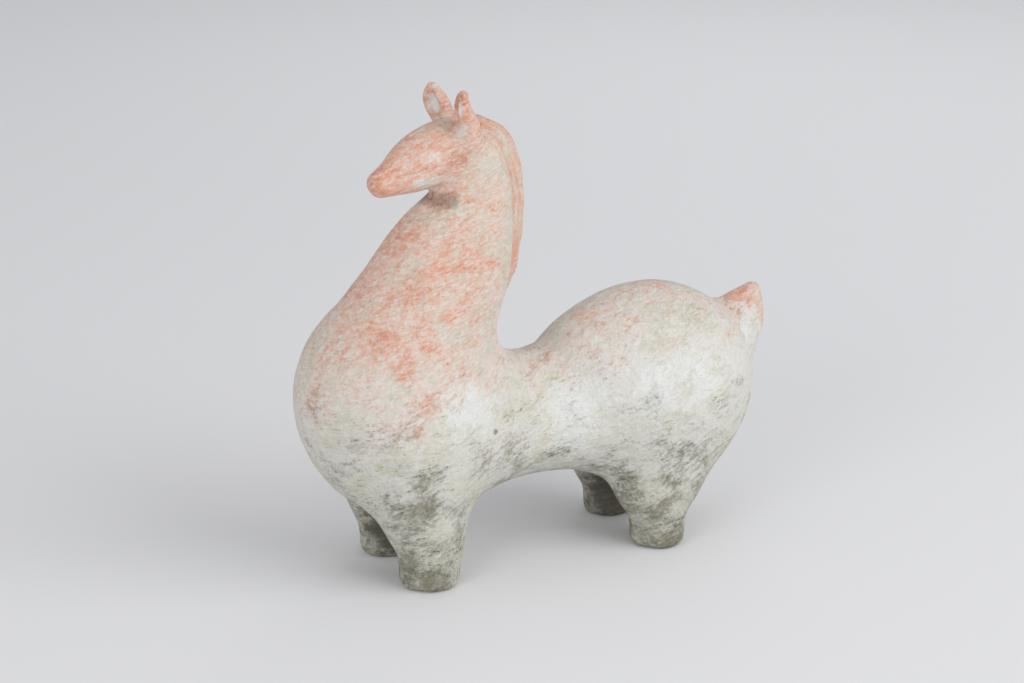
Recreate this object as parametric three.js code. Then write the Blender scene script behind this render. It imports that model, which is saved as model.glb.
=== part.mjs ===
// Clay horse in the manner of a haniwa tomb figure, modelled by hand as one hollow piece and fired.
// Millimetres, +Z up. The horse looks along -X, its left side faces -Y and its soles are on z = 0.
import * as THREE from "three";

const { Box3, CatmullRomCurve3, Euler, Matrix4, Vector3 } = THREE;
const rad = THREE.MathUtils.degToRad;

// Overall sizes: ground to ear tips, and middle of the front soles to middle of the hind soles
const height = 300;
const stance = 159;

// Breadths of the body
const chestWidth = 114;
const waistWidth = 80;
const rumpWidth = 114;
const tailWidth = 27;

// Soles: diameters, distances between the left and right middles, and the rounding around each one
const frontSole = 37;
const hindSole = 35;
const frontTrack = 62;
const hindTrack = 63;
const soleEdge = 5;

// Head, from behind the poll to the muzzle, turned a little to the horse's left
const headLength = 70;
const headWidth = 34;
const headTurn = rad(8);
const poll = { x: 22, z: 266 };

// Ears, set on the poll, and the ridge of the mane
const earLength = 30;
const earWidth = 17;
const earThickness = 9;
const earSpread = 28;
const earBack = 31;
const earRoot = 274.5;
const maneWidth = 12;

// Widths over which one form flows into the next, as wet clay is smoothed
const bodyBlend = 30;
const legBlend = 12;
const tailBlend = 12;
const jawBlend = 7;
const fineBlend = 4;
const bowlEdge = 1.5;

// Distance between the surface's points, at each share of the height from the ground up
const grain = [
  [0.53, 8.35],
  [0.77, 5.8],
  [0.83, 4.3],
  [0.92, 4.2],
  [0.96, 2.7],
];

// Hundredths of the height, the measure of the horse's pose and proportions
const part = (hundredths) => (height * hundredths) / 100;

// A station has its centre, its half depth in the side view and its half breadth across the horse.
const station = (x, z, deep, across, y = 0) => ({ x, y, z, deep, across });

// Two distances to a surface flow together over the given width.
function blend(a, b, width) {
  const near = Math.max(width - Math.abs(a - b), 0) / width;
  return Math.min(a, b) - (near * near * width) / 4;
}

// What lies inside b is taken out of a, with its edge rounded over the given width.
function hollow(a, b, width) {
  return -blend(-a, b, width);
}

// Signed distance to a round form whose stations are strung on a smooth curve
function limb(stations, steps = 8) {
  const count = (stations.length - 1) * steps;
  const strung = (at) => new CatmullRomCurve3(stations.map(at), false, "catmullrom").getPoints(count);
  const centres = strung((s) => new Vector3(s.x, s.y, s.z));
  const halves = strung((s) => new Vector3(s.deep, s.across, 0));
  const box = new Box3();
  centres.forEach((c, i) => {
    const reach = Math.max(halves[i].x, halves[i].y);
    box.expandByPoint(c.clone().subScalar(reach));
    box.expandByPoint(c.clone().addScalar(reach));
  });
  const field = (x, y, z) => {
    const away = Math.hypot(
      Math.max(box.min.x - x, 0, x - box.max.x),
      Math.max(box.min.y - y, 0, y - box.max.y),
      Math.max(box.min.z - z, 0, z - box.max.z),
    );
    if (away > bodyBlend) return away;
    let nearest = Infinity;
    for (let i = 0; i < count; i++) {
      const a = centres[i];
      const b = centres[i + 1];
      const runX = b.x - a.x;
      const runZ = b.z - a.z;
      const along = ((x - a.x) * runX + (z - a.z) * runZ) / (runX * runX + runZ * runZ);
      const t = Math.min(Math.max(along, 0), 1);
      const dx = x - a.x - t * runX;
      const dz = z - a.z - t * runZ;
      const dy = y - a.y - t * (b.y - a.y);
      const deep = halves[i].x + t * (halves[i + 1].x - halves[i].x);
      const across = halves[i].y + t * (halves[i + 1].y - halves[i].y);
      const inPlane = (dx * dx + dz * dz) / (deep * deep);
      const sideways = (dy * dy) / (across * across);
      const level = Math.sqrt(inPlane + sideways);
      const slope = Math.sqrt(inPlane / (deep * deep) + sideways / (across * across));
      const distance = slope > 1e-9 ? (level * (level - 1)) / slope : -Math.min(deep, across);
      nearest = Math.min(nearest, distance);
    }
    return nearest;
  };
  field.box = box;
  return field;
}

// A form made in its own frame, turned about Z, leaned about Y, tilted about X and set in its place
function placed(field, { x, y, z, turn = 0, lean = 0, tilt = 0 }) {
  const frame = new Matrix4().makeRotationFromEuler(new Euler(tilt, lean, turn, "ZYX")).setPosition(x, y, z);
  const e = frame.clone().invert().elements;
  const moved = (px, py, pz) => field(
    e[0] * px + e[4] * py + e[8] * pz + e[12],
    e[1] * px + e[5] * py + e[9] * pz + e[13],
    e[2] * px + e[6] * py + e[10] * pz + e[14],
  );
  moved.box = field.box.clone().applyMatrix4(frame);
  return moved;
}

// Neck and chest, from the poll down to the brisket
function neck() {
  const rows = [
    [15.0, 84.3, 6.8, 0.15],
    [15.3, 77.7, 7.8, 0.18],
    [12.9, 71.0, 10.3, 0.23],
    [8.8, 63.3, 13.5, 0.29],
    [4.4, 55.0, 15.0, 0.35],
    [0.3, 46.0, 17.8, 0.42],
    [-2.7, 37.7, 20.7, 0.5],
    [-1.0, 31.5, 18.1, 0.475],
  ];
  return limb(rows.map(([x, z, deep, wide]) => station(part(x), part(z), part(deep), chestWidth * wide)));
}

// Barrel and rump, along the stance
function trunk() {
  const rows = [
    [0.03, 30.0, 15.3, chestWidth * 0.42],
    [0.28, 29.7, 13.7, waistWidth * 0.54],
    [0.50, 29.9, 13.0, waistWidth * 0.5],
    [0.72, 30.5, 14.5, waistWidth * 0.57],
    [0.93, 32.5, 19.6, rumpWidth * 0.48],
    [1.08, 32.7, 21.3, rumpWidth * 0.5],
    [1.165, 31.3, 17.2, rumpWidth * 0.455],
  ];
  return limb(rows.map(([x, z, deep, across]) => station(stance * x, part(z), part(deep), across)));
}

// Stubby leg that widens upward into the body; side is -1 for the left and 1 for the right
function leg({ foot, thigh, knee, track, sole, side }) {
  const y = (side * track) / 2;
  return limb([
    station(foot + part(thigh.back), part(26.7), part(thigh.deep), part(thigh.across), y * 0.8),
    station(foot + part(knee.back), part(16.7), part(knee.deep), part(knee.across), y * 0.9),
    station(foot, part(8.7), sole * 0.575, sole * 0.55, y),
    station(foot, part(2.7), sole * 0.5, sole * 0.51, y),
    station(foot, part(-6.7), sole * 0.485, sole * 0.5, y),
  ]);
}

const frontLeg = (side) => leg({
  foot: 0,
  thigh: { back: -1.3, deep: 12, across: 8.7 },
  knee: { back: -0.7, deep: 9.6, across: 8 },
  track: frontTrack,
  sole: frontSole,
  side,
});

const hindLeg = (side) => leg({
  foot: stance,
  thigh: { back: 3.7, deep: 14, across: 9.3 },
  knee: { back: 0.6, deep: 11.2, across: 8.3 },
  track: hindTrack,
  sole: hindSole,
  side,
});

// Short fin of a tail, pressed against the rump with its tip up
function tail() {
  const rows = [
    [1.538, 49.5, 1.8, 0.2],
    [1.514, 46.9, 3.7, 0.32],
    [1.468, 42.9, 6.4, 0.46],
    [1.457, 39.3, 5.7, 0.5],
    [1.434, 36.0, 3.8, 0.4],
  ];
  return limb(rows.map(([x, z, deep, wide]) => station(stance * x, part(z), part(deep), tailWidth * wide)));
}

// Ridge of the mane, from between the ears down the back of the neck, fading out above the withers
function mane() {
  const rows = [
    [15.6, 90.9, 2.8, 0.5],
    [20.0, 88.3, 3.0, 0.5],
    [22.3, 83.0, 3.2, 0.5],
    [23.4, 76.0, 2.8, 0.5],
    [23.2, 69.3, 2.7, 0.48],
    [22.8, 64.0, 2.4, 0.46],
    [22.1, 60.2, 1.9, 0.44],
    [20.9, 56.6, 1.2, 0.4],
  ];
  return limb(rows.map(([x, z, deep, wide]) => station(part(x), part(z), part(deep), maneWidth * wide)));
}

// Head in its own frame, with its origin at the poll
function head() {
  const rows = [
    [0.29, -0.06, 0.243, 0.44],
    [0.06, -0.07, 0.264, 0.5],
    [-0.20, -0.143, 0.243, 0.44],
    [-0.43, -0.236, 0.157, 0.31],
    [-0.56, -0.28, 0.114, 0.265],
  ];
  const own = limb(rows.map(([x, z, deep, wide]) =>
    station(headLength * x, headLength * z, headLength * deep, headWidth * wide)));
  return placed(own, { x: poll.x, y: 0, z: poll.z, turn: headTurn });
}

// Ear in its own frame, a leaf that stands on the poll with its bowl facing -X
function ear() {
  return limb([
    station(earThickness * 0.56, earLength * -0.2, earThickness * 0.97, earWidth * 0.33),
    station(earThickness * 0.41, earLength * 0.1, earThickness * 0.86, earWidth * 0.4),
    station(earThickness * 0.05, earLength * 0.4, earThickness * 0.64, earWidth * 0.5),
    station(earThickness * -0.07, earLength * 0.63, earThickness * 0.46, earWidth * 0.42),
    station(0, earLength * 0.79, earThickness * 0.26, earWidth * 0.2),
  ]);
}

function earBowl() {
  return limb([
    station(earThickness * -0.61, earLength * 0.17, earThickness * 0.39, earWidth * 0.18),
    station(earThickness * -0.67, earLength * 0.43, earThickness * 0.49, earWidth * 0.29),
    station(earThickness * -0.61, earLength * 0.63, earThickness * 0.38, earWidth * 0.24),
  ]);
}

const leftEar = { x: earBack, y: -earSpread / 2, z: earRoot, turn: rad(-10), lean: rad(2), tilt: rad(10) };
const rightEar = { x: earBack, y: earSpread / 2, z: earRoot, turn: rad(33), lean: rad(-8), tilt: rad(-10) };

// The whole horse as one signed distance, cut off flat under the soles
function horse() {
  const body = [neck(), trunk()];
  const legs = [frontLeg(-1), frontLeg(1), hindLeg(-1), hindLeg(1)];
  const added = [
    [tail(), tailBlend],
    [head(), jawBlend],
    [mane(), fineBlend],
  ];
  const ears = [leftEar, rightEar].map((place) => [placed(ear(), place), placed(earBowl(), place)]);
  const field = (x, y, z) => {
    let d = blend(body[0](x, y, z), body[1](x, y, z), bodyBlend);
    for (const one of legs) d = blend(d, one(x, y, z), legBlend);
    for (const [one, width] of added) d = blend(d, one(x, y, z), width);
    for (const [leaf, bowl] of ears) d = hollow(blend(d, leaf(x, y, z), fineBlend), bowl(x, y, z), bowlEdge);
    return hollow(d, z, soleEdge);
  };
  const forms = [...body, ...legs, ...added.map(([one]) => one), ...ears.map(([leaf]) => leaf)];
  field.boxes = forms.map((one) => one.box);
  return field;
}

// Positions from one number to another, each a step on from the last
function ticks(from, to, step) {
  const list = [from];
  while (list.at(-1) < to) list.push(list.at(-1) + step(list.at(-1)));
  return list;
}

// Spacing of the lattice at a height, read off the grain
function spacing(z) {
  const share = z / height;
  const next = grain.findIndex(([level]) => level > share);
  if (next < 0) return grain.at(-1)[1];
  if (next === 0) return grain[0][1];
  const [low, below] = grain[next - 1];
  const [high, above] = grain[next];
  return below + ((above - below) * (share - low)) / (high - low);
}

// Lattice of points around the horse: its columns draw together up the neck and lie closest at the tail
// and along the middle, where the ridge of the mane is.
function lattice(boxes) {
  const top = Math.max(...boxes.map((b) => b.max.z));
  const byTail = (z) => z > part(31) && z < part(52);
  const rise = (z) => Math.min(spacing(z) * (byTail(z) ? 0.75 : 1), (soleEdge + Math.max(z, 0)) / 2);
  const levels = ticks(-soleEdge / 2, top + grain.at(-1)[1], rise);
  const axis = part(11.7);
  const most = (extent) => Math.ceil(Math.max(...levels.map((z) => {
    const near = boxes.filter((b) => b.min.z <= z && z <= b.max.z);
    return Math.max(0, ...near.map(extent)) / spacing(z);
  }))) + 1;
  const ahead = most((b) => axis - b.min.x);
  const behind = most((b) => b.max.x - axis);
  const aside = most((b) => Math.max(b.max.y, -b.min.y)) + 0.5;
  const tailColumn = (stance * 1.42 - axis) / spacing(part(50));
  return {
    levels,
    axis,
    lengthwise: ticks(-ahead, behind, (u) => (u < tailColumn ? 1 : 0.6)),
    sideways: ticks(-aside, aside, (v) => (Math.abs(v + 0.1) < 1.5 ? 0.75 : 1)),
  };
}

// Moves each point along the slope of the distance until it is on the surface
function settle(points, field, rounds) {
  const probe = 0.05;
  for (const p of points) {
    for (let round = 0; round < rounds; round++) {
      const d = field(...p);
      const slope = [0, 1, 2].map((k) => {
        const q = [...p];
        q[k] += probe;
        return (field(...q) - d) / probe;
      });
      const steep = Math.max(slope[0] ** 2 + slope[1] ** 2 + slope[2] ** 2, 0.25);
      for (let k = 0; k < 3; k++) p[k] -= (d * slope[k]) / steep;
    }
  }
}

// Evens out the points over the surface, each one halfway to the middle of its neighbours
function relax(points, faces) {
  const around = points.map(() => new Set());
  for (let f = 0; f < faces.length; f += 3) {
    for (let k = 0; k < 3; k++) {
      const a = faces[f + k];
      const b = faces[f + ((k + 1) % 3)];
      around[a].add(b);
      around[b].add(a);
    }
  }
  const old = points.map((p) => [...p]);
  points.forEach((p, n) => {
    for (let k = 0; k < 3; k++) {
      let sum = 0;
      for (const m of around[n]) sum += old[m][k];
      p[k] = (old[n][k] + sum / around[n].size) / 2;
    }
  });
}

// Closed skin where the distance is nought: one point in each lattice cell that the surface passes through,
// and one four-sided face across each lattice edge that it crosses
function skin(field) {
  const { levels, axis, lengthwise, sideways } = lattice(field.boxes);
  const nx = lengthwise.length;
  const ny = sideways.length;
  const nz = levels.length;
  const id = (i, j, k) => (k * ny + j) * nx + i;
  const place = (i, j, k) => {
    const s = spacing(levels[k]);
    return [axis + lengthwise[i] * s, sideways[j] * s, levels[k]];
  };
  const each = (from, visit) => {
    for (let k = from; k < nz - 1; k++) {
      for (let j = from; j < ny - 1; j++) {
        for (let i = from; i < nx - 1; i++) visit(i, j, k);
      }
    }
  };
  const value = new Float64Array(nx * ny * nz).fill(1);
  each(0, (i, j, k) => {
    value[id(i, j, k)] = field(...place(i, j, k));
  });
  const inside = (i, j, k) => value[id(i, j, k)] < 0;

  // Two points of a lattice face that are inside and meet only across its diagonal are joined through the
  // nearer of the other two, so that the skin never touches itself along an edge.
  const faceSides = [[1, nx], [nx, nx * ny], [nx * ny, 1]];
  let joined = true;
  while (joined) {
    joined = false;
    each(0, (i, j, k) => {
      for (const [u, v] of faceSides) {
        const ring = [0, u, u + v, v].map((step) => id(i, j, k) + step);
        const [a, b, c, d] = ring.map((n) => value[n] < 0);
        if (a !== c || b !== d || a === b) continue;
        const outside = ring.filter((n) => value[n] >= 0);
        const nearer = value[outside[0]] < value[outside[1]] ? outside[0] : outside[1];
        value[nearer] = -1e-6;
        joined = true;
      }
    });
  }

  const corners = [0, 1, 2, 3, 4, 5, 6, 7].map((n) => [n & 1, (n >> 1) & 1, n >> 2]);
  const edges = corners.flatMap((c, n) => [0, 1, 2].filter((k) => !c[k]).map((k) => [n, n | (1 << k)]));
  const cell = new Int32Array(nx * ny * nz).fill(-1);
  const points = [];
  each(0, (i, j, k) => {
    const crossings = [];
    for (const [m, n] of edges) {
      const a = corners[m].map((c, axisNo) => c + [i, j, k][axisNo]);
      const b = corners[n].map((c, axisNo) => c + [i, j, k][axisNo]);
      if (inside(...a) === inside(...b)) continue;
      const t = value[id(...a)] / (value[id(...a)] - value[id(...b)]);
      const end = place(...b);
      crossings.push(place(...a).map((c, axisNo) => c + t * (end[axisNo] - c)));
    }
    if (!crossings.length) return;
    cell[id(i, j, k)] = points.length;
    points.push([0, 1, 2].map((c) => crossings.reduce((sum, p) => sum + p[c], 0) / crossings.length));
  });
  settle(points, field, 3);

  const faces = [];
  const apart = (m, n) => Math.hypot(...points[m].map((c, k) => c - points[n][k]));
  const square = (ring, turned) => {
    const [a, b, c, d] = turned ? ring.reverse() : ring;
    if (apart(a, c) <= apart(b, d)) faces.push(a, b, c, a, c, d);
    else faces.push(a, b, d, b, c, d);
  };
  each(1, (i, j, k) => {
    const here = inside(i, j, k);
    const at = (di, dj, dk) => cell[id(i - di, j - dj, k - dk)];
    if (here !== inside(i + 1, j, k)) square([at(0, 1, 1), at(0, 0, 1), at(0, 0, 0), at(0, 1, 0)], !here);
    if (here !== inside(i, j + 1, k)) square([at(1, 0, 1), at(0, 0, 1), at(0, 0, 0), at(1, 0, 0)], here);
    if (here !== inside(i, j, k + 1)) square([at(1, 1, 0), at(0, 1, 0), at(0, 0, 0), at(1, 0, 0)], !here);
  });
  for (let round = 0; round < 2; round++) {
    relax(points, faces);
    settle(points, field, 2);
  }
  return new THREE.BufferGeometry()
    .setAttribute("position", new THREE.Float32BufferAttribute(points.flat(), 3))
    .setIndex(faces);
}

// The origin is on the ground under the middle of the horse.
const geometry = skin(horse());
geometry.computeBoundingBox();
const middle = geometry.boundingBox.getCenter(new Vector3());
geometry.translate(-middle.x, -middle.y, 0);

const slippedClay = new THREE.MeshStandardMaterial({ color: 0xc9c3b3, roughness: 0.9, metalness: 0 });
const body = new THREE.Mesh(geometry, slippedClay);
body.name = "horse";

const group = new THREE.Group().add(body);
export default group;
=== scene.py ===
from math import atan2, cos, exp, hypot, pi, radians, sin

import bmesh
import bpy
import numpy as np
from bpy.props import FloatProperty, FloatVectorProperty, PointerProperty
from mathutils import Matrix, Vector, noise


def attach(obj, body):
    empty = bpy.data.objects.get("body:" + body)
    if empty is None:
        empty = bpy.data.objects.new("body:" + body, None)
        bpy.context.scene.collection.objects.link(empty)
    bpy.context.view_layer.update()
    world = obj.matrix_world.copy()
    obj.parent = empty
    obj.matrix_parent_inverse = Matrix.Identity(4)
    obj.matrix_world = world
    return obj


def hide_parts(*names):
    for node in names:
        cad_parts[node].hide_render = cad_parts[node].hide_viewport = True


bl_info = {
    "name": "Haniwa horse",
    "version": (1, 0, 0),
    "blender": (4, 5, 0),
    "location": "3D View > Sidebar > Haniwa horse",
    "description": "A hand-built clay horse with a worn slip, and the studio it stands in",
    "category": "Object",
}

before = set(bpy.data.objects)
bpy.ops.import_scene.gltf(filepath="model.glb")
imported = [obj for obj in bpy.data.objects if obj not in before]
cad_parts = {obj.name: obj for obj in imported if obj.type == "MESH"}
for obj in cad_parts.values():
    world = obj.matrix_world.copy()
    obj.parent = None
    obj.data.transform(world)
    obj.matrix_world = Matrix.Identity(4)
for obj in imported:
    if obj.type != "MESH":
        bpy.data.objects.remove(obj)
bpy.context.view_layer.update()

MM = 0.001


def linear(hexed):
    """An sRGB hex colour as linear red, green and blue."""
    parts = [int(hexed[at:at + 2], 16) / 255 for at in (1, 3, 5)]
    return tuple(part / 12.92 if part <= 0.04045 else ((part + 0.055) / 1.055) ** 2.4 for part in parts)


# Surface relief, in mm

# Two Catmull-Clark rounds bring the skin's points to about 2 mm apart on the body and 1 mm on the neck
ROUNDINGS = 2
# Each holding round takes back this share of what the rounding pulled in
HOLDING_ROUNDS = 3
HOLDING_SHARE = 0.8

# How far it is from one rise of the hand-smoothed wall to the next, and from one finger dent to the next
SWAY_REACH = 46
DENT_REACH = 15

# Grooves that a comb left beside the mane: how far each runs from the middle of the neck
COMBED = (9.5, 12.7, 15.9, 19.1)
GROOVE_HALF_WIDTH = 1.0
COMBED_FROM = 178.0
COMBED_TO = 272.0
# The comb wandered this far over this height, and its teeth skipped over this height
COMB_WANDER = 1.2
WANDER_REACH = 22
SKIP_REACH = 26

# The mane's crest runs about this far round a hub inside the top of the neck, given as x and z
MANE_HUB = (-62.0, 232.0)
MANE_REACH = 49.0

# The vent that lets air out of the hollow body in the kiln
VENT = (-55.5, -50.3, 97.9)
VENT_RADIUS = 1.5
VENT_DEPTH = 3.0
VENT_PATCH = 7.0
VENT_CUTS = 5
# Half sizes in mm of the painted shade that darkens the vent's hole
VENT_SHADE = (1.9, 1.9, 1.9)


# How the colours lie

# Patterns vary about this middle, and a share of the surface shifts one by this much of itself
PATTERN_MIDDLE = 0.5
PATTERN_SWING = 0.45

# A daub is whole up to this share of its half size and gone at this one, and its edge is broken by this much
DAUB_SOLID = 0.35
DAUB_GONE = 1.15
FRAYING = 2.2

# A thin wash lies on this much more of the surface than the thick of its colour
PIGMENT_WASH = 1.25
GRIME_WASH = 1.26

# How steeply the brush strokes rise towards the tail
STROKE_RISE = radians(27)

# A pattern swings by about an eighth of its range, so this many ridges make up the relief's full height
RIDGE_GAIN = 8


# Places where a brush or wear left more of one colour: centre and half sizes in mm, set out on the left side

# Pigment on the chest, the neck, the crest, the ears, the muzzle, the back, the flank and the rump
ORANGE_DAUBS = (
    ((-119, -36, 161), (9, 14, 15)),
    ((-114, -47, 144), (10, 12, 11)),
    ((-97, -46, 155), (7, 8, 5)),
    ((-103, -57, 121), (9, 8, 7)),
    ((-109, -57, 108), (5, 6, 6)),
    ((-52, -31, 196), (13, 10, 4)),
    ((-84, -31, 197), (16, 10, 4)),
    ((-80, -40, 171), (14, 10, 4)),
    ((-20, -5, 184), (9, 12, 14)),
    ((-18, -3, 204), (8, 8, 12)),
    ((-24, -2, 266), (9, 8, 12)),
    ((-62, -17, 290), (12, 14, 14)),
    ((-108, -10, 248), (13, 16, 13)),
    ((27, -4, 148), (12, 14, 4)),
    ((80, -4, 162), (14, 9, 5)),
    ((-18, -32, 113), (6, 6, 5)),
    ((65, -46, 135), (10, 9, 4)),
    ((115, -37, 132), (7, 8, 6)),
)

# Broad, pale pigment down the neck and the mane, over the head and round the tail
BLUSH_DAUBS = (
    ((-108, 0, 190), (24, 24, 48)),
    ((-88, -6, 262), (38, 26, 20)),
    ((-18, 0, 225), (11, 9, 58)),
    ((-40, 0, 275), (18, 9, 14)),
    ((135, -10, 142), (30, 20, 18)),
)

# Clay bared by wear on the cheek and the ears
BARE_CLAY_DAUBS = (
    ((-62, -18, 259), (12, 12, 8)),
    ((-62, -17, 292), (12, 14, 13)),
)

# Thick slip at the ear's foot, along the jaw, on the throat, the shoulder, the flank and the rump
WHITE_DAUBS = (
    ((-63, -19, 275), (6, 8, 7)),
    ((-78, -16, 246), (20, 10, 6)),
    ((-82, -16, 262), (8, 8, 5)),
    ((70, -55, 112), (42, 22, 18)),
    ((5, -40, 96), (30, 22, 22)),
    ((-75, -52, 112), (26, 18, 20)),
    ((140, -20, 128), (8, 10, 9)),
    ((-62, -17, 229), (10, 9, 6)),
)

# Staining on the chest, down the legs and under the belly, and between the legs grime with painted shade on
# their inner sides
GRIME_AND_SHADE_DAUBS = (
    ((-119, -54, 88), (9, 12, 8)),
    ((-105, -55, 78), (13, 13, 9)),
    ((-143, -38, 103), (16, 16, 10)),
    ((-125, -50, 98), (12, 12, 6)),
    ((-108, -50, 58), (13, 12, 9)),
    ((60, -52, 48), (16, 12, 4)),
    ((57, -49, 28), (11, 12, 9)),
    ((66, -46, 5), (14, 14, 7)),
    ((-98, -46, 8), (16, 16, 9)),
    ((-14, -36, 71), (16, 14, 5)),
    ((-33, -39, 72), (12, 12, 4)),
    # the inner sides of the hind and front legs: grime with painted shade
    ((58, -13, 20), (28, 9, 30)),
    ((-98, -12, 20), (24, 8, 28)),
)

# Dark smudge under the jaw: painted shade in the crease under the jaw, over a brown stain there
THROAT_STAIN_AND_SHADE = (
    ((-71, -11, 233), (13, 13, 6.5)),
)

# Dark inner sides of the hind and front legs: grime with painted shade, where the belly and the other legs
# shade them
LEG_GRIME_AND_SHADE = (
    ((57, -17, 16), (32, 16, 34)),
    ((-98, -15, 17), (26, 12, 26)),
)

# Thick slip in the hollow of the right ear and of the left one, which are turned differently
EAR_BOWLS = (
    ((-65.5, 13, 288), (4.5, 5.5, 8)),
    ((-65, -20, 289), (3.5, 5, 8)),
)

# Pigment on the top and the rear edge of the tail
TAIL_DAUBS = (
    ((144, -9, 149), (13, 14, 7)),
    ((154, -9, 146), (13, 14, 13)),
    ((160, -9, 134), (8, 14, 18)),
)

# Broken dark strokes on the thigh, the belly, the shoulder and the chest
DARK_STROKE_DAUBS = (
    ((78, -56, 88), (30, 22, 8)),
    ((72, -54, 66), (26, 22, 8)),
    ((-14, -40, 73), (32, 22, 5)),
    ((-70, -52, 96), (24, 18, 14)),
    ((-104, -56, 84), (18, 14, 9)),
    ((-135, -42, 110), (24, 22, 18)),
)


class HorseFinish(bpy.types.PropertyGroup):
    """How the clay was worked, and the colours on it."""

    sway: FloatProperty(
        name="Wall sway", description="How far the hand-smoothed wall rises and falls",
        default=0.5 * MM, min=0.0, max=2 * MM, precision=5, unit="LENGTH")
    dents: FloatProperty(
        name="Finger dents", description="Depth of the small dents that fingers left",
        default=0.2 * MM, min=0.0, max=1 * MM, precision=5, unit="LENGTH")
    combing: FloatProperty(
        name="Combed grooves", description="Depth of the grooves beside the mane",
        default=0.6 * MM, min=0.0, max=1.5 * MM, precision=5, unit="LENGTH")
    bristles: FloatProperty(
        name="Bristle marks", description="Height of the ridges that the slip brush left",
        default=0.22 * MM, min=0.0, max=1 * MM, precision=5, unit="LENGTH")
    slip: FloatVectorProperty(
        name="White slip", description="Colour of the thick white slip",
        default=linear("#EEEFED"), size=3, min=0.0, max=1.0, subtype="COLOR")
    thin_slip: FloatVectorProperty(
        name="Thin slip", description="Colour where the slip is thin and the buff clay shows through",
        default=linear("#D3CFBF"), size=3, min=0.0, max=1.0, subtype="COLOR")
    clay: FloatVectorProperty(
        name="Bare clay", description="Colour of the fired clay where the slip is worn off",
        default=linear("#B9775A"), size=3, min=0.0, max=1.0, subtype="COLOR")
    blush: FloatVectorProperty(
        name="Pale pigment", description="Colour of the thin wash of earth pigment",
        default=linear("#E5C6B4"), size=3, min=0.0, max=1.0, subtype="COLOR")
    pigment: FloatVectorProperty(
        name="Pigment", description="Colour of the earth pigment where it is thick",
        default=linear("#E7A68A"), size=3, min=0.0, max=1.0, subtype="COLOR")
    deep_pigment: FloatVectorProperty(
        name="Deep pigment", description="Colour of the heaviest specks of the pigment",
        default=linear("#DA835F"), size=3, min=0.0, max=1.0, subtype="COLOR")
    bloom: FloatVectorProperty(
        name="Khaki bloom", description="Colour of the yellow-green blotches in the slip",
        default=linear("#CBC8B0"), size=3, min=0.0, max=1.0, subtype="COLOR")
    grime_wash: FloatVectorProperty(
        name="Thin grime", description="Colour where the staining is thin",
        default=linear("#B0AE9E"), size=3, min=0.0, max=1.0, subtype="COLOR")
    grime: FloatVectorProperty(
        name="Grime", description="Colour of the grey-green staining low on the body",
        default=linear("#7D7A66"), size=3, min=0.0, max=1.0, subtype="COLOR")
    # Also the colour of the painted shade under the jaw, between the legs and in the vent's hole
    soot_and_shade: FloatVectorProperty(
        name="Dark specks", description="Colour of the dark specks and broken strokes",
        default=linear("#57544A"), size=3, min=0.0, max=1.0, subtype="COLOR")


class StudioSettings(bpy.types.PropertyGroup):
    """The floor, the light and the camera."""

    floor: FloatVectorProperty(
        name="Floor", description="Colour of the paper sweep",
        default=linear("#EDEDEF"), size=3, min=0.0, max=1.0, subtype="COLOR")
    sky: FloatProperty(
        name="Room light", description="Strength of the even light from all round",
        default=0.57, min=0.0, max=5.0)
    key: FloatProperty(
        name="Right softbox", description="Power of the softbox on the camera's right",
        default=46.0, min=0.0, max=500.0, unit="POWER")
    fill: FloatProperty(
        name="Left softbox", description="Power of the softbox on the camera's left",
        default=18.5, min=0.0, max=500.0, unit="POWER")
    back: FloatProperty(
        name="Back softbox", description="Power of the softbox over the paper behind the horse",
        default=3.4, min=0.0, max=500.0, unit="POWER")
    turn: FloatProperty(
        name="Camera turn", description="How far the camera stands round towards the head",
        default=radians(-26.1), min=-pi, max=pi, subtype="ANGLE")
    rise: FloatProperty(
        name="Camera rise", description="How far the camera looks down",
        default=radians(16.9), min=-pi / 2, max=pi / 2, subtype="ANGLE")
    away: FloatProperty(
        name="Camera distance", description="From the camera to the middle of the horse",
        default=1.4, min=0.2, max=10.0, unit="LENGTH")
    lens: FloatProperty(
        name="Lens", description="Focal length in mm",
        default=80.0, min=10.0, max=300.0)


# Geometry of the horse

def points_of(mesh):
    """The mesh's points as rows of x, y and z."""
    flat = np.empty(len(mesh.vertices) * 3, dtype=np.float32)
    mesh.vertices.foreach_get("co", flat)
    return flat.reshape(-1, 3)


def rounded_skin(source, rounds):
    """The solid's skin with its triangles paired into four-sided faces, subdivided, and held to the solid.

    Subdividing pulls thin ears and round edges inwards, so the points are moved out until the
    subdivided skin passes through the solid's own points again.
    """
    shape = bmesh.new()
    shape.from_mesh(source)
    bmesh.ops.remove_doubles(shape, verts=shape.verts, dist=0.01 * MM)
    bmesh.ops.join_triangles(
        shape, faces=shape.faces, angle_face_threshold=radians(60), angle_shape_threshold=radians(60))
    coarse = bpy.data.meshes.new("coarse_skin")
    shape.to_mesh(coarse)
    shape.free()
    carrier = bpy.data.objects.new("coarse_skin", coarse)
    bpy.context.scene.collection.objects.link(carrier)
    rounding = carrier.modifiers.new("rounding", "SUBSURF")
    rounding.levels = rounding.render_levels = rounds
    solid = points_of(coarse)
    held = solid.copy()
    for _ in range(HOLDING_ROUNDS):
        skin = bpy.data.meshes.new_from_object(carrier.evaluated_get(bpy.context.evaluated_depsgraph_get()))
        held += HOLDING_SHARE * (solid - points_of(skin)[:len(solid)])
        coarse.vertices.foreach_set("co", held.ravel())
        coarse.update()
        bpy.data.meshes.remove(skin)
    skin = bpy.data.meshes.new_from_object(carrier.evaluated_get(bpy.context.evaluated_depsgraph_get()))
    bpy.data.objects.remove(carrier)
    bpy.data.meshes.remove(coarse)
    return skin


def ramp(value, start, end):
    """0 up to start, 1 from end on, and a smooth rise between."""
    share = min(1.0, max(0.0, (value - start) / (end - start)))
    return share * share * (3 - 2 * share)


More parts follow.
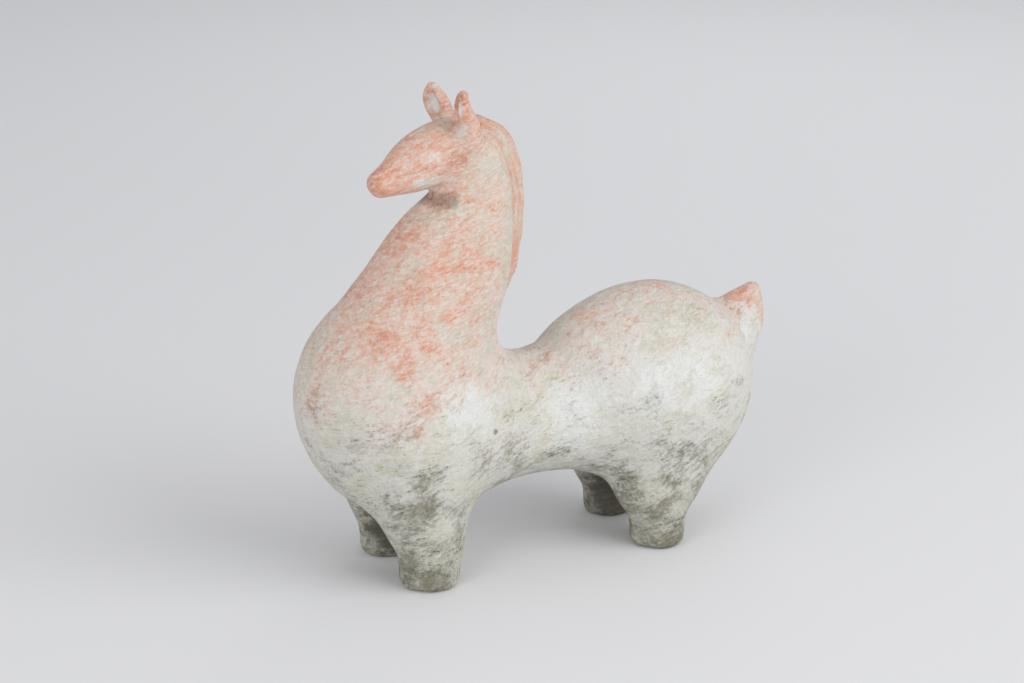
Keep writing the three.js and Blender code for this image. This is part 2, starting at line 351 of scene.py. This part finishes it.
def combed(x, y, z, facing):
    """How deep the comb pressed at a point in mm, from 0 to 1."""
    length = ramp(z, COMBED_FROM, COMBED_FROM + 30) * ramp(z, COMBED_TO + 6, COMBED_TO - 8)
    if length == 0 or facing < 0:
        return 0.0
    # each side has a wander of its own, and each tooth skips in places of its own
    wander = COMB_WANDER * noise.noise(Vector((z / WANDER_REACH, 4.1 if y > 0 else 1.7, 0.3)))
    press = 0.0
    for at, groove in enumerate(COMBED):
        off = (abs(y) - groove - wander) / GROOVE_HALF_WIDTH
        broken = 0.6 + 0.7 * noise.noise(Vector((z / SKIP_REACH, at * 3.3, y * 0.01)))
        press = max(press, exp(-off * off) * min(1.0, max(0.0, broken)))
    return press * length * ramp(facing, 0.0, 0.35)


def mane_way(x, z):
    """How far a point in mm lies along the crest, from the foot of the mane to the poll, and how far out."""
    ahead, up = x - MANE_HUB[0], z - MANE_HUB[1]
    return MANE_REACH * atan2(up, ahead), hypot(ahead, up)


def mane_share(x, y, z):
    """1 on the mane, which is 7 to 17 mm wide to either side, falling to 0 beside it."""
    along, out = mane_way(x, z)
    ends = ramp(along, -MANE_REACH, -0.8 * MANE_REACH) * ramp(along, 1.6 * MANE_REACH, 1.3 * MANE_REACH)
    return ends * ramp(abs(y), 17, 7) * ramp(out, 26, 36) * ramp(out, 66, 58)


def hand_worked(point, normal, finish):
    """How far a point of the skin, in metres, stands out from the smooth solid."""
    x, y, z = point / MM
    sway = noise.fractal(Vector((x, y, z)) / SWAY_REACH, 1.0, 2.0, 2)
    dent = noise.fractal(Vector((x, y * 1.2, z * 1.5)) / DENT_REACH + Vector((7, 3, 1)), 1.0, 2.0, 2)
    # the rump's rear edge, below the tail, is rougher than the rest
    frayed = 1 + 3 * ramp(x, 95, 130) * ramp(z, 125, 95)
    # the feet stay true near the floor
    level = ramp(z, 2.0, 9.0)
    # the thin ears get less than half of it
    slender = 1 - 0.6 * ramp(z, 276, 284)
    out = finish.sway * sway * slender + finish.dents * dent * frayed * slender
    return out * level - finish.combing * combed(x, y, z, normal.x)


def press_vent(skin, place, radius, depth, patch):
    """Splits the faces up to patch away from the vent finely, and pushes its middle in."""
    shape = bmesh.new()
    shape.from_mesh(skin)
    middle = Vector(place)
    near = [edge for edge in shape.edges if all((vert.co - middle).length < patch for vert in edge.verts)]
    bmesh.ops.subdivide_edges(shape, edges=near, cuts=VENT_CUTS, use_grid_fill=True)
    shape.normal_update()
    closest = min(shape.verts, key=lambda vert: (vert.co - middle).length)
    inward = -closest.normal.copy()
    for vert in shape.verts:
        off = (vert.co - middle).length / radius
        if off < 4:
            # a flat bottom with steep sides
            vert.co += inward * depth * exp(-off ** 4)
    shape.to_mesh(skin)
    shape.free()


def mark_mane(skin):
    """Stores where the mane is, and each point's place on it, so that its colour can run along the hair."""
    share = skin.attributes.new("mane", "FLOAT", "POINT")
    way = skin.attributes.new("mane_way", "FLOAT_VECTOR", "POINT")
    for at, (x, y, z) in enumerate(points_of(skin) / MM):
        share.data[at].value = mane_share(x, y, z)
        way.data[at].vector = (y * MM, mane_way(x, z)[0] * MM, 0)


def model_horse(finish):
    """The horse's skin at the solid's place, worked by hand: swaying walls, dents, combing and the vent."""
    skin = rounded_skin(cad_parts["horse"].data, ROUNDINGS)
    skin.name = "clay_horse"
    moved = np.array([
        vert.co + vert.normal * hand_worked(vert.co, vert.normal, finish)
        for vert in skin.vertices
    ], dtype=np.float32)
    # the soles stay flat on the floor
    moved[:, 2] = np.maximum(moved[:, 2], 0.0)
    skin.vertices.foreach_set("co", moved.ravel())
    press_vent(skin, [value * MM for value in VENT], VENT_RADIUS * MM, VENT_DEPTH * MM, VENT_PATCH * MM)
    mark_mane(skin)
    skin.polygons.foreach_set("use_smooth", [True] * len(skin.polygons))
    skin.update()
    horse = bpy.data.objects.new("clay_horse", skin)
    bpy.context.scene.collection.objects.link(horse)
    return horse


# Materials

def add_node(tree, kind, settings=None, inputs=None):
    """Adds a node, with its settings and with a value or a socket for each named input."""
    node = tree.nodes.new(kind)
    for name, value in (settings or {}).items():
        setattr(node, name, value)
    for name, value in (inputs or {}).items():
        if isinstance(value, bpy.types.NodeSocket):
            tree.links.new(value, node.inputs[name])
        else:
            node.inputs[name].default_value = value
    return node


def ragged(tree, place, size, stretch=(1, 1, 1), rising=0.0, detail=6.0, rough=0.6, seed=0.0):
    """A cloudy pattern, its blots about size mm across, drawn out by stretch and rising towards the tail."""
    spread = add_node(tree, "ShaderNodeMapping", {"vector_type": "TEXTURE"}, {
        "Vector": place,
        "Location": (seed, seed * 0.7, seed * 1.3),
        "Rotation": (0, -rising, 0),
        "Scale": tuple(size * MM * reach for reach in stretch),
    })
    return add_node(tree, "ShaderNodeTexNoise", {"noise_dimensions": "3D"}, {
        "Vector": spread.outputs["Vector"],
        "Scale": 1.0,
        "Detail": detail,
        "Roughness": rough,
    }).outputs["Fac"]


def share_by(tree, value, stops):
    """A share from 0 to 1 that follows value in mm, given as (mm, share) stops."""
    first, last = stops[0][0], stops[-1][0]
    along = add_node(tree, "ShaderNodeMapRange", None, {
        "Value": value, "From Min": first * MM, "From Max": last * MM,
    })
    band = add_node(tree, "ShaderNodeValToRGB", None, {"Fac": along.outputs["Result"]})
    stretch = band.color_ramp.elements
    while len(stretch) < len(stops):
        stretch.new(0.5)
    for element, (at, share) in zip(stretch, stops):
        element.position = (at - first) / (last - first)
        element.color = (share, share, share, 1)
    return band.outputs["Color"]


def daubed(tree, place, spots, fray):
    """1 inside any of the daubs and 0 well outside, with the edge broken up by fray."""
    found = None
    for centre, half in spots:
        local = add_node(tree, "ShaderNodeMapping", {"vector_type": "TEXTURE"}, {
            "Vector": place,
            "Location": tuple(value * MM for value in centre),
            "Scale": tuple(value * MM for value in half),
        })
        off = add_node(tree, "ShaderNodeVectorMath", {"operation": "LENGTH"}, {0: local.outputs["Vector"]})
        torn = add_node(tree, "ShaderNodeMath", {"operation": "MULTIPLY_ADD"}, {
            0: fray, 1: -FRAYING, 2: off.outputs["Value"],
        })
        inside = add_node(tree, "ShaderNodeMapRange", {"interpolation_type": "SMOOTHSTEP"}, {
            "Value": torn.outputs["Value"], "From Min": DAUB_SOLID, "From Max": DAUB_GONE,
            "To Min": 1.0, "To Max": 0.0,
        }).outputs["Result"]
        found = inside if found is None else add_node(
            tree, "ShaderNodeMath", {"operation": "MAXIMUM"}, {0: found, 1: inside}).outputs["Value"]
    return found


def worn(tree, pattern, amount, edge, cover=1.0):
    """What is left of a layer on about amount of the surface, with an edge this soft, cover thick."""
    raised = add_node(tree, "ShaderNodeMath", {"operation": "MULTIPLY_ADD"}, {
        0: amount, 1: PATTERN_SWING, 2: pattern,
    }).outputs["Value"]
    half_covered = PATTERN_MIDDLE + PATTERN_SWING / 2
    return add_node(tree, "ShaderNodeMapRange", {"interpolation_type": "SMOOTHSTEP"}, {
        "Value": raised, "From Min": half_covered - edge, "From Max": half_covered + edge, "To Max": cover,
    }).outputs["Result"]


def total(tree, parts):
    """The sum of shares, each given with its weight."""
    found = 0.0
    for value, weight in parts:
        found = add_node(tree, "ShaderNodeMath", {"operation": "MULTIPLY_ADD"}, {
            0: value, 1: weight, 2: found,
        }).outputs["Value"]
    return found


def left_place(tree, where):
    """Each point's place on the left side, so that what is set out there is repeated on the right."""
    across = add_node(tree, "ShaderNodeMath", {"operation": "ABSOLUTE"}, {0: where.outputs["Y"]})
    mirrored = total(tree, ((across.outputs["Value"], -1.0),))
    return add_node(tree, "ShaderNodeCombineXYZ", None, {
        "X": where.outputs["X"], "Y": mirrored, "Z": where.outputs["Z"],
    }).outputs["Vector"]


def pigment_left(tree, where, handed, fray):
    """How much of the pigment is left: most on the head and neck, some on the back, least on the flanks."""
    normal = add_node(tree, "ShaderNodeSeparateXYZ", None, {
        "Vector": add_node(tree, "ShaderNodeNewGeometry").outputs["Normal"],
    })
    up_neck = share_by(tree, where.outputs["Z"], (
        (0, 0.1), (70, 0.2), (110, 0.31), (150, 0.42), (185, 0.46), (230, 0.47), (300, 0.5)))
    back_top = add_node(tree, "ShaderNodeMapRange", {"interpolation_type": "SMOOTHSTEP"}, {
        "Value": normal.outputs["Z"], "From Min": 0.2, "From Max": 0.95, "To Min": 0.2, "To Max": 0.34,
    }).outputs["Result"]
    # the neck's pigment gives way to the back's between these two places
    front = share_by(tree, where.outputs["X"], ((-60, 1.0), (5, 0.0)))
    rear = share_by(tree, where.outputs["X"], ((-60, 0.0), (5, 1.0)))
    return total(tree, (
        (up_neck, front),
        (back_top, rear),
        (daubed(tree, handed, ORANGE_DAUBS, fray), 0.12),
        (daubed(tree, handed, BLUSH_DAUBS, fray), 0.04),
        (daubed(tree, handed, TAIL_DAUBS, fray), 0.3),
    ))


def slipped_fired_clay(finish):
    """Low-fired clay, brushed with white slip and earth pigment and rubbed back: chalky, dry and mottled.

    The eye gets no shine at all, only thin layers of colour broken by bristle marks and wear, and painted
    shade under the jaw, between the legs and in the vent's hole.
    """
    material = bpy.data.materials.new("slipped_fired_clay")
    material.use_nodes = True
    tree = material.node_tree
    tree.nodes.clear()
    place = add_node(tree, "ShaderNodeTexCoord").outputs["Object"]
    where = add_node(tree, "ShaderNodeSeparateXYZ", None, {"Vector": place})
    handed = left_place(tree, where)

    # broad blots of the slip, and the bloom that shows through it
    blots = ragged(tree, place, 24, detail=7, rough=0.62)
    bloom = ragged(tree, place, 17, (1.3, 1.3, 0.8), detail=6, rough=0.6, seed=21)
    fray = total(tree, ((ragged(tree, place, 9, detail=6, rough=0.7, seed=3), 1.0), (1.0, -PATTERN_MIDDLE)))
    # slip and pigment went on with a brush, in short strokes that rise towards the tail
    brushed = ragged(tree, place, 2.6, (3.4, 3.4, 1), STROKE_RISE, detail=6, rough=0.74, seed=5)
    stipple = ragged(tree, place, 2.1, detail=4, rough=0.72, seed=8)
    bristle = ragged(tree, place, 1.2, (6, 6, 1), radians(14), detail=4, rough=0.65, seed=31)
    flecks = ragged(tree, place, 1.7, (2.5, 2.5, 1), radians(20), detail=3, rough=0.7, seed=41)
    # the clay's grog is under 1 mm, drawn at 1.3 mm so that it shows
    grog = ragged(tree, place, 1.3, detail=3, rough=0.7, seed=11)
    # where a thumb or a pad pressed the wet clay between strokes
    pressed = ragged(tree, place, 8, (1.3, 1.3, 1), STROKE_RISE, detail=3, rough=0.6, seed=61)

    mottle = total(tree, ((blots, 0.55), (brushed, 0.25), (stipple, 0.2)))
    fine = total(tree, ((blots, 0.42), (brushed, 0.38), (stipple, 0.2)))
    smear = total(tree, ((bloom, 0.3), (bristle, 0.4), (stipple, 0.3)))

    whitened = daubed(tree, handed, WHITE_DAUBS, fray)
    pigment = total(tree, ((pigment_left(tree, where, handed, fray), 1.0), (whitened, -0.16)))
    slip = total(tree, (
        (share_by(tree, where.outputs["Z"], (
            (0, 0.5), (60, 0.55), (150, 0.5), (200, 0.4), (300, 0.4))), 1.0),
        (whitened, 0.1),
    ))
    grime = total(tree, (
        (share_by(tree, where.outputs["Z"], (
            (0, 0.5), (20, 0.47), (45, 0.42), (70, 0.36), (95, 0.29), (130, 0.17), (300, 0.05))), 1.0),
        # the daubs between the legs add painted shade to the grime
        (daubed(tree, handed, GRIME_AND_SHADE_DAUBS, fray), 0.1),
        (whitened, -0.03),
    ))
    strokes = total(tree, (
        (share_by(tree, where.outputs["Z"], (
            (0, 0.36), (60, 0.3), (110, 0.24), (150, 0.15), (300, 0.1))), 1.0),
        (daubed(tree, handed, DARK_STROKE_DAUBS, fray), 0.08),
    ))
    bare = total(tree, ((daubed(tree, handed, BARE_CLAY_DAUBS, fray), 0.46),))

    # the mane's strands are 1.7 mm across and run along its crest
    mane = add_node(tree, "ShaderNodeAttribute", {"attribute_name": "mane"}).outputs["Fac"]
    hair_way = add_node(tree, "ShaderNodeAttribute", {"attribute_name": "mane_way"}).outputs["Vector"]
    hair = ragged(tree, hair_way, 1.7, (1, 14, 1), detail=5, rough=0.68, seed=51)
    hair_cover = total(tree, ((mane, 0.75),))

    # the layers of colour in the order in which they lie, the lowest first, then the painted shade under the
    # jaw, between the legs and in the vent
    layers = (
        (worn(tree, bloom, 0.42, 0.09, 0.8), finish.bloom),
        (worn(tree, mottle, slip, 0.1), finish.slip),
        (worn(tree, fine, total(tree, ((pigment, PIGMENT_WASH),)), 0.13, 0.85), finish.blush),
        (worn(tree, fine, pigment, 0.09, 0.75), finish.pigment),
        (worn(tree, smear, total(tree, ((pigment, 0.8),)), 0.09, 0.65), finish.deep_pigment),
        (worn(tree, flecks, 0.42, 0.1, 0.4), finish.slip),
        (worn(tree, hair, 0.52, 0.08, hair_cover), finish.blush),
        (worn(tree, hair, 0.46, 0.08, hair_cover), finish.pigment),
        (worn(tree, fine, bare, 0.11, 0.7), finish.clay),
        (total(tree, ((daubed(tree, place, EAR_BOWLS, fray), 0.85),)), finish.slip),
        (worn(tree, mottle, total(tree, ((grime, GRIME_WASH),)), 0.15, 0.7), finish.grime_wash),
        (worn(tree, fine, grime, 0.09, 0.85), finish.grime),
        (worn(tree, smear, strokes, 0.06, 0.8), finish.soot_and_shade),
        # painted shade under the jaw, over a brown stain
        (total(tree, ((daubed(tree, handed, THROAT_STAIN_AND_SHADE, fray), 0.48),)), finish.soot_and_shade),
        # painted shade with grime on the inner sides of the legs
        (total(tree, ((daubed(tree, handed, LEG_GRIME_AND_SHADE, fray), 0.84),)), finish.soot_and_shade),
        # painted shade: the vent's hole is painted dark
        (daubed(tree, place, ((VENT, VENT_SHADE),), 0.0), finish.soot_and_shade),
    )
    coat = tuple(finish.thin_slip) + (1.0,)
    for mask, colour in layers:
        # this node has several inputs of one name, so they go by number: the mask and the two colours
        coat = add_node(tree, "ShaderNodeMix", {"data_type": "RGBA"}, {
            0: mask, 6: coat, 7: tuple(colour) + (1.0,),
        }).outputs[2]

    strands = total(tree, ((hair, mane),))
    height = total(tree, ((pressed, 2.6), (brushed, 0.8), (grog, 0.45), (strands, 0.9)))
    bump = add_node(tree, "ShaderNodeBump", None, {
        "Strength": 1.0, "Distance": finish.bristles * RIDGE_GAIN, "Height": height,
    })
    surface = add_node(tree, "ShaderNodeBsdfPrincipled", None, {
        "Base Color": coat, "Roughness": 0.92, "IOR": 1.45, "Specular IOR Level": 0.25,
        "Normal": bump.outputs["Normal"],
    })
    add_node(tree, "ShaderNodeOutputMaterial", None, {"Surface": surface.outputs["BSDF"]})
    return material


def matt_paper(colour):
    """Seamless studio paper: an even, matt ground without any grain that shows."""
    material = bpy.data.materials.new("matt_paper")
    material.use_nodes = True
    tree = material.node_tree
    tree.nodes.clear()
    surface = add_node(tree, "ShaderNodeBsdfPrincipled", None, {
        "Base Color": tuple(colour) + (1.0,), "Roughness": 0.85, "Specular IOR Level": 0.2,
    })
    add_node(tree, "ShaderNodeOutputMaterial", None, {"Surface": surface.outputs["BSDF"]})
    return material


# Studio, in metres

SWEEP_FLAT = 6.0
SWEEP_BEND = 1.5
SWEEP_WALL = 2.0
CAMERA_AIM = (-0.0239, -0.008, 0.139)


def model_sweep():
    """A round paper floor, 15 m across, that curves up into a low wall on every side."""
    shape = bmesh.new()
    profile = [(0.0, 0.0), (SWEEP_FLAT, 0.0)]
    profile += [
        (SWEEP_FLAT + SWEEP_BEND * sin(turn), SWEEP_BEND - SWEEP_BEND * cos(turn))
        for turn in np.linspace(0.1, pi / 2, 12)
    ]
    profile.append((SWEEP_FLAT + SWEEP_BEND, SWEEP_WALL))
    line = [shape.verts.new((across, 0, up)) for across, up in profile]
    edges = [shape.edges.new(pair) for pair in zip(line, line[1:])]
    bmesh.ops.spin(
        shape, geom=line + edges, cent=(0, 0, 0), axis=(0, 0, 1), angle=2 * pi, steps=96, use_merge=True)
    bmesh.ops.remove_doubles(shape, verts=shape.verts, dist=0.1 * MM)
    bmesh.ops.recalc_face_normals(shape, faces=shape.faces)
    sweep = bpy.data.meshes.new("paper_sweep")
    shape.to_mesh(sweep)
    shape.free()
    sweep.polygons.foreach_set("use_smooth", [True] * len(sweep.polygons))
    floor = bpy.data.objects.new("paper_sweep", sweep)
    bpy.context.scene.collection.objects.link(floor)
    return floor


def add_softbox(name, place, aim, size, power):
    """A square softbox that points at aim."""
    lamp = bpy.data.lights.new(name, "AREA")
    lamp.shape = "SQUARE"
    lamp.size = size
    lamp.energy = power
    box = bpy.data.objects.new(name, lamp)
    box.location = place
    box.rotation_euler = (Vector(aim) - Vector(place)).to_track_quat("-Z", "Y").to_euler()
    bpy.context.scene.collection.objects.link(box)


def add_camera(studio):
    """The camera, turned and raised round a point just under the horse's middle."""
    aim = Vector(CAMERA_AIM)
    turn, rise = studio.turn, studio.rise
    right = Vector((cos(turn), sin(turn), 0))
    back = Vector((sin(turn) * cos(rise), -cos(turn) * cos(rise), sin(rise)))
    up = back.cross(right)
    sight = bpy.data.cameras.new("camera")
    sight.lens = studio.lens
    sight.sensor_width = 36
    sight.dof.use_dof = False
    camera = bpy.data.objects.new("camera", sight)
    turned = Matrix((right, up, back)).transposed().to_4x4()
    camera.matrix_world = Matrix.Translation(aim + back * studio.away) @ turned
    bpy.context.scene.collection.objects.link(camera)
    bpy.context.scene.camera = camera


# Operators, panel and start

class HANIWA_OT_horse(bpy.types.Operator):
    """Builds the clay horse over its solid and gives it its worn slip"""

    bl_idname = "haniwa.horse"
    bl_label = "Build the horse"

    def execute(self, context):
        finish = context.scene.haniwa_finish
        horse = model_horse(finish)
        horse.data.materials.append(slipped_fired_clay(finish))
        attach(horse, "root")
        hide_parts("horse")
        return {"FINISHED"}


class HANIWA_OT_studio(bpy.types.Operator):
    """Lays the paper sweep and sets up the light and the camera"""

    bl_idname = "haniwa.studio"
    bl_label = "Set up the studio"

    def execute(self, context):
        studio = context.scene.haniwa_studio
        floor = model_sweep()
        floor.data.materials.append(matt_paper(studio.floor))
        room = context.scene.world or bpy.data.worlds.new("room")
        context.scene.world = room
        room.use_nodes = True
        air = room.node_tree.nodes["Background"]
        air.inputs["Color"].default_value = (*linear("#F7F8FA"), 1.0)
        air.inputs["Strength"].default_value = studio.sky
        add_softbox("right_softbox", (1.5, -2.0, 1.3), (0, 0, 0.1), 2.5, studio.key)
        add_softbox("left_softbox", (-2.1, -1.35, 0.75), (0, 0, 0.15), 1.3, studio.fill)
        add_softbox("back_softbox", (1.1, 1.5, 1.4), (1.1, 1.5, 0), 1.0, studio.back)
        add_camera(studio)
        context.scene.view_settings.view_transform = "Standard"
        return {"FINISHED"}


class HANIWA_PT_panel(bpy.types.Panel):
    """The horse's finish and the studio, with a button for each."""

    bl_idname = "HANIWA_PT_panel"
    bl_label = "Haniwa horse"
    bl_space_type = "VIEW_3D"
    bl_region_type = "UI"
    bl_category = "Haniwa horse"

    def draw(self, context):
        for operator, settings in (
            (HANIWA_OT_horse, context.scene.haniwa_finish),
            (HANIWA_OT_studio, context.scene.haniwa_studio),
        ):
            box = self.layout.box()
            for name in settings.bl_rna.properties.keys():
                if name not in ("rna_type", "name"):
                    box.prop(settings, name)
            box.operator(operator.bl_idname)


CLASSES = (HorseFinish, StudioSettings, HANIWA_OT_horse, HANIWA_OT_studio, HANIWA_PT_panel)


def register():
    for each in CLASSES:
        bpy.utils.register_class(each)
    bpy.types.Scene.haniwa_finish = PointerProperty(type=HorseFinish)
    bpy.types.Scene.haniwa_studio = PointerProperty(type=StudioSettings)


def unregister():
    del bpy.types.Scene.haniwa_studio
    del bpy.types.Scene.haniwa_finish
    for each in reversed(CLASSES):
        bpy.utils.unregister_class(each)


def main():
    register()
    bpy.ops.haniwa.horse()
    bpy.ops.haniwa.studio()


if __name__ == "__main__":
    main()
